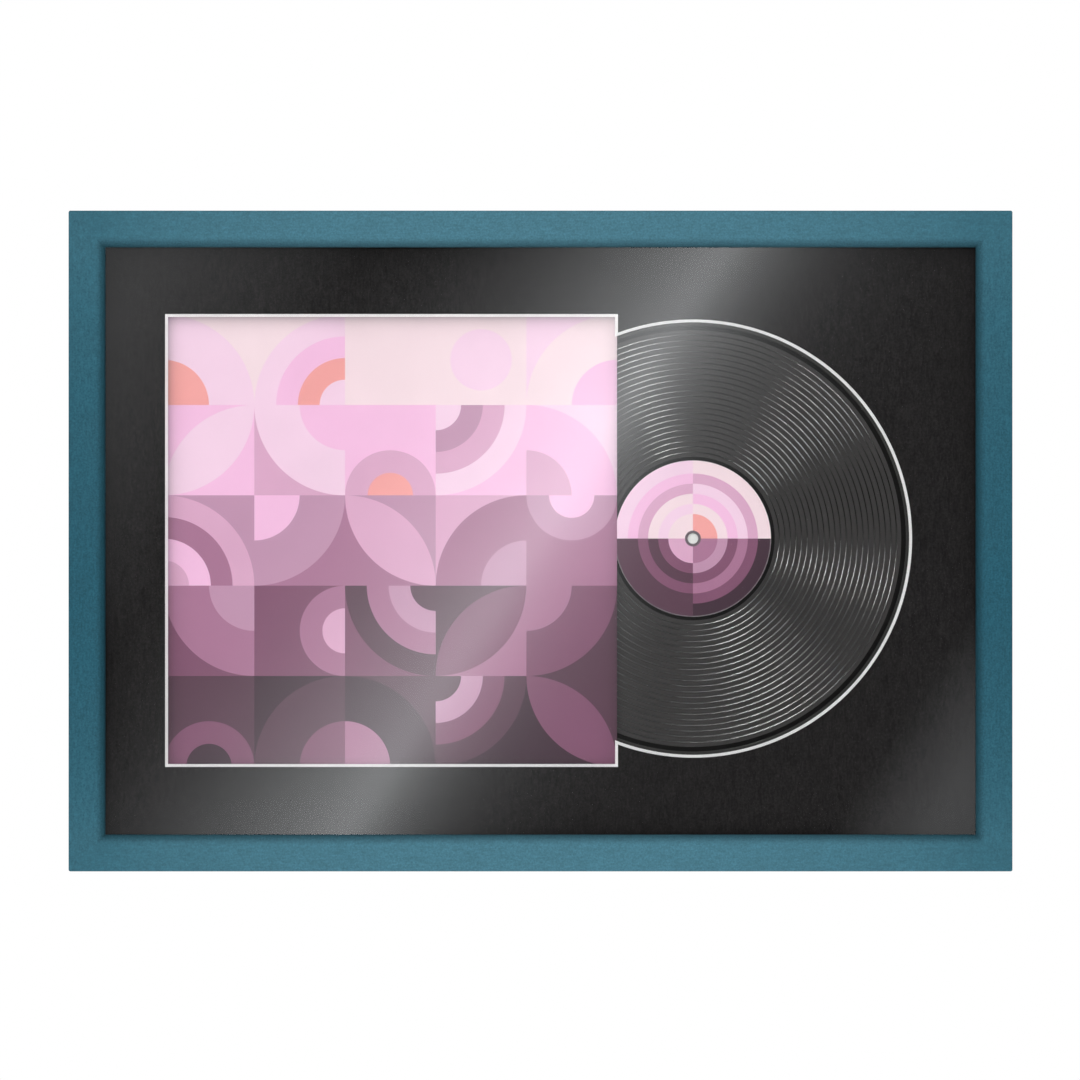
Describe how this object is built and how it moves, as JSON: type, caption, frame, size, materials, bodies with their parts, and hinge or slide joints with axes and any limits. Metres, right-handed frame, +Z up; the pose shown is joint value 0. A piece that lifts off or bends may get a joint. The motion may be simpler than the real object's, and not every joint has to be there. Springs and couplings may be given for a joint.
{
  "type": "vinyl record frame",
  "caption": "Mitred wall frame with a glazed black mat that shows a square record sleeve and the record half drawn out of it.",
  "frame": {"origin": "middle of the frame in the plane of the wall, where the backs of the wall bumpers touch it", "axes": "+X to the right of someone who faces the frame, +Z up, and the front faces -Y"},
  "size_m": [0.6524, 0.0269, 0.4568],
  "materials": {
    "painted_wood": "satin",
    "glazing": "gloss",
    "black_mat": "matte",
    "sleeve_card": "satin",
    "vinyl": "gloss",
    "label_paper": "matte",
    "foam_board": "matte",
    "hardboard": "matte",
    "zinc_steel": "satin",
    "bumper_rubber": "matte"
  },
  "bodies": {
    "frame": {"rail_top": "painted_wood", "rail_bottom": "painted_wood", "rail_left": "painted_wood", "rail_right": "painted_wood", "glazing": "glazing", "mat_board": "black_mat", "spacer_board": "foam_board", "mount_board": "foam_board", "record_sleeve": "sleeve_card", "vinyl_disc": "vinyl", "front_label": "label_paper", "back_label": "label_paper", "backing_board": "hardboard", "corner_nail_top_left_outer": "zinc_steel", "corner_nail_top_left_inner": "zinc_steel", "corner_nail_top_right_outer": "zinc_steel", "corner_nail_top_right_inner": "zinc_steel", "corner_nail_bottom_left_outer": "zinc_steel", "corner_nail_bottom_left_inner": "zinc_steel", "corner_nail_bottom_right_outer": "zinc_steel", "corner_nail_bottom_right_inner": "zinc_steel", "button_screw_top_left": "zinc_steel", "button_screw_top_middle": "zinc_steel", "button_screw_top_right": "zinc_steel", "button_screw_bottom_left": "zinc_steel", "button_screw_bottom_middle": "zinc_steel", "button_screw_bottom_right": "zinc_steel", "button_screw_left_middle": "zinc_steel", "button_screw_right_middle": "zinc_steel", "strap_hanger_left": "zinc_steel", "strap_hanger_right": "zinc_steel", "hanger_screw_left_upper": "zinc_steel", "hanger_screw_left_lower": "zinc_steel", "hanger_screw_right_upper": "zinc_steel", "hanger_screw_right_lower": "zinc_steel", "wall_bumper_top_left": "bumper_rubber", "wall_bumper_top_right": "bumper_rubber", "wall_bumper_bottom_left": "bumper_rubber", "wall_bumper_bottom_right": "bumper_rubber"},
    "button_top_left": {"turn_button_top_left": "zinc_steel"},
    "button_top_middle": {"turn_button_top_middle": "zinc_steel"},
    "button_top_right": {"turn_button_top_right": "zinc_steel"},
    "button_bottom_left": {"turn_button_bottom_left": "zinc_steel"},
    "button_bottom_middle": {"turn_button_bottom_middle": "zinc_steel"},
    "button_bottom_right": {"turn_button_bottom_right": "zinc_steel"},
    "button_left_middle": {"turn_button_left_middle": "zinc_steel"},
    "button_right_middle": {"turn_button_right_middle": "zinc_steel"},
    "ring_left": {"hanging_ring_left": "zinc_steel"},
    "ring_right": {"hanging_ring_right": "zinc_steel"}
  },
  "joints": [
    {"name": "button_top_left_turn", "type": "hinge", "parent": "frame", "child": "button_top_left", "pos_m": [-0.20228, -0.005, 0.2187], "axis": [0, 1, 0], "continuous": true},
    {"name": "button_top_middle_turn", "type": "hinge", "parent": "frame", "child": "button_top_middle", "pos_m": [0, -0.005, 0.2187], "axis": [0, 1, 0], "continuous": true},
    {"name": "button_top_right_turn", "type": "hinge", "parent": "frame", "child": "button_top_right", "pos_m": [0.20228, -0.005, 0.2187], "axis": [0, 1, 0], "continuous": true},
    {"name": "button_bottom_left_turn", "type": "hinge", "parent": "frame", "child": "button_bottom_left", "pos_m": [-0.20228, -0.005, -0.2187], "axis": [0, 1, 0], "continuous": true},
    {"name": "button_bottom_middle_turn", "type": "hinge", "parent": "frame", "child": "button_bottom_middle", "pos_m": [0, -0.005, -0.2187], "axis": [0, 1, 0], "continuous": true},
    {"name": "button_bottom_right_turn", "type": "hinge", "parent": "frame", "child": "button_bottom_right", "pos_m": [0.20228, -0.005, -0.2187], "axis": [0, 1, 0], "continuous": true},
    {"name": "button_left_middle_turn", "type": "hinge", "parent": "frame", "child": "button_left_middle", "pos_m": [-0.31655, -0.005, 0], "axis": [0, 1, 0], "continuous": true},
    {"name": "button_right_middle_turn", "type": "hinge", "parent": "frame", "child": "button_right_middle", "pos_m": [0.31655, -0.005, 0], "axis": [0, 1, 0], "continuous": true},
    {"name": "ring_left_swing", "type": "hinge", "parent": "frame", "child": "ring_left", "pos_m": [-0.31655, -0.00355, 0.13019], "axis": [-1, 0, 0], "range_deg": [0, 178]},
    {"name": "ring_right_swing", "type": "hinge", "parent": "frame", "child": "ring_right", "pos_m": [0.31655, -0.00355, 0.13019], "axis": [-1, 0, 0], "range_deg": [0, 178]}
  ]
}
